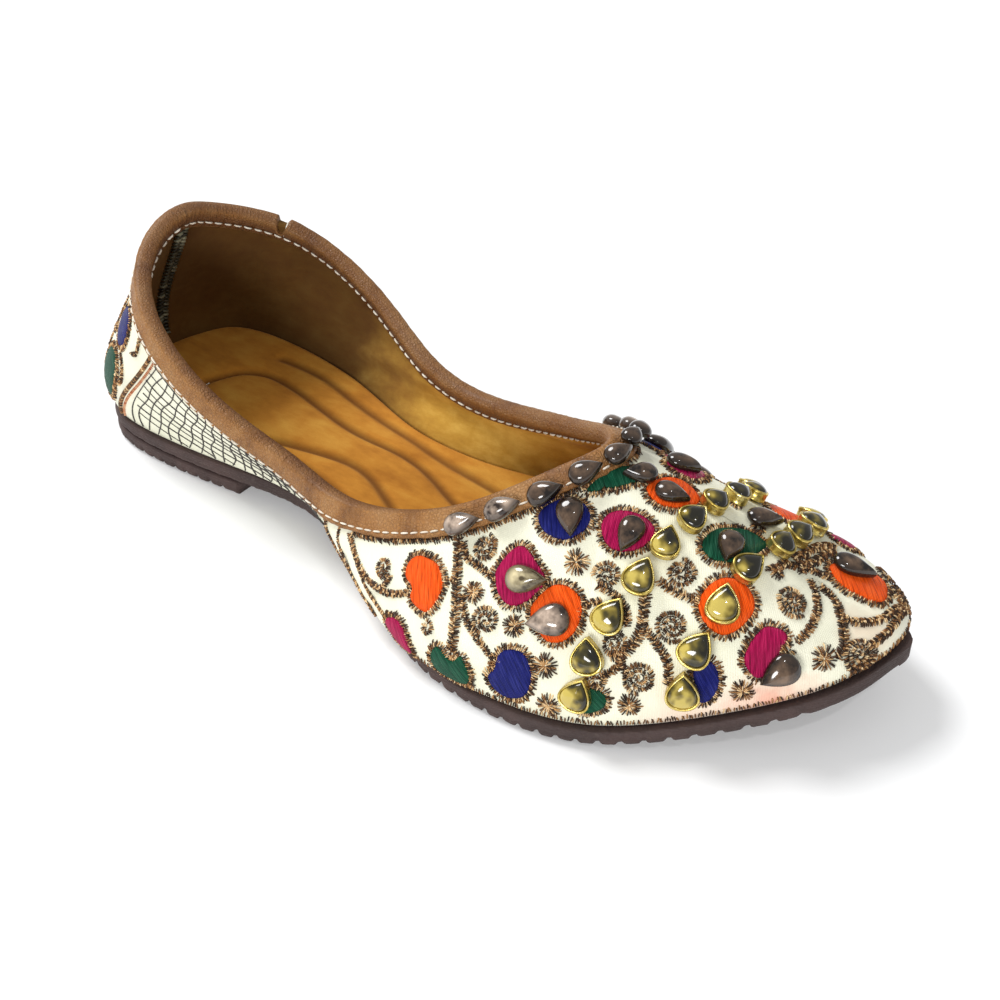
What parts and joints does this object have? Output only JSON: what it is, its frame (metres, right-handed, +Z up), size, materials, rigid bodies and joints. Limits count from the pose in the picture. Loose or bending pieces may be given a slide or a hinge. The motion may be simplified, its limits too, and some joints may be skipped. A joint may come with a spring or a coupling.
{
  "type": "mojari shoe",
  "caption": "Flat slip-on mojari, right foot: pointed raised toe, low curved sides, leather-bound collar, embroidered upper set with drop stones, padded insole, ribbed rubber sole.",
  "frame": {"origin": "on the floor, under the middle of the shoe's box", "axes": "+X from heel to toe, +Y to the wearer's left, +Z up"},
  "size_m": [0.252, 0.0938, 0.0653],
  "materials": {
    "silk": "ivory satin weave",
    "binding_leather": "smooth tan leather, semi-matt",
    "rubber": "dark brown, matt, rough sides",
    "suede": "mustard-brown suede, soft nap",
    "dark_stone": "polished grey-brown glass",
    "kundan_glass": "polished yellow-green glass on foil",
    "gold_setting": "polished gold-coloured setting",
    "zari_thread": "antique-gold metallic thread",
    "satin_orange": "orange satin-stitch floss",
    "satin_magenta": "magenta satin-stitch floss",
    "satin_navy": "navy satin-stitch floss",
    "satin_green": "green satin-stitch floss",
    "white_thread": "waxed off-white stitching thread",
    "net_thread": "dark grey thread"
  },
  "bodies": {
    "root": {"upper": "silk", "binding": "binding_leather", "outsole": "rubber", "heel_lift": "rubber", "insole": "suede", "throat_stone_1": "dark_stone", "throat_stone_2": "dark_stone", "throat_stone_3": "dark_stone", "throat_stone_4": "dark_stone", "throat_stone_5": "dark_stone", "throat_stone_6": "dark_stone", "throat_stone_7": "dark_stone", "throat_stone_8": "dark_stone", "throat_stone_9": "dark_stone", "kundan_a_1": "gold_setting", "kundan_a_2": "gold_setting", "kundan_a_3": "gold_setting", "kundan_a_4": "gold_setting", "kundan_a_5": "gold_setting", "kundan_a_6": "gold_setting", "kundan_a_7": "gold_setting", "kundan_a_8": "gold_setting", "kundan_a_9": "gold_setting", "kundan_a_10": "gold_setting", "kundan_a_11": "gold_setting", "kundan_a_12": "gold_setting", "kundan_a_13": "gold_setting", "kundan_b_1": "gold_setting", "kundan_b_2": "gold_setting", "kundan_b_3": "gold_setting", "kundan_b_4": "gold_setting", "kundan_b_5": "gold_setting", "kundan_b_6": "gold_setting", "kundan_b_7": "gold_setting", "kundan_b_8": "gold_setting", "kundan_b_9": "gold_setting", "drop_1": "dark_stone", "drop_2": "dark_stone", "drop_3": "dark_stone", "drop_4": "dark_stone", "drop_5": "dark_stone", "drop_6": "dark_stone", "drop_7": "dark_stone", "drop_8": "dark_stone", "drop_9": "dark_stone", "drop_10": "dark_stone", "drop_11": "dark_stone", "drop_12": "dark_stone", "drop_13": "dark_stone", "drop_14": "dark_stone"}
  },
  "joints": []
}
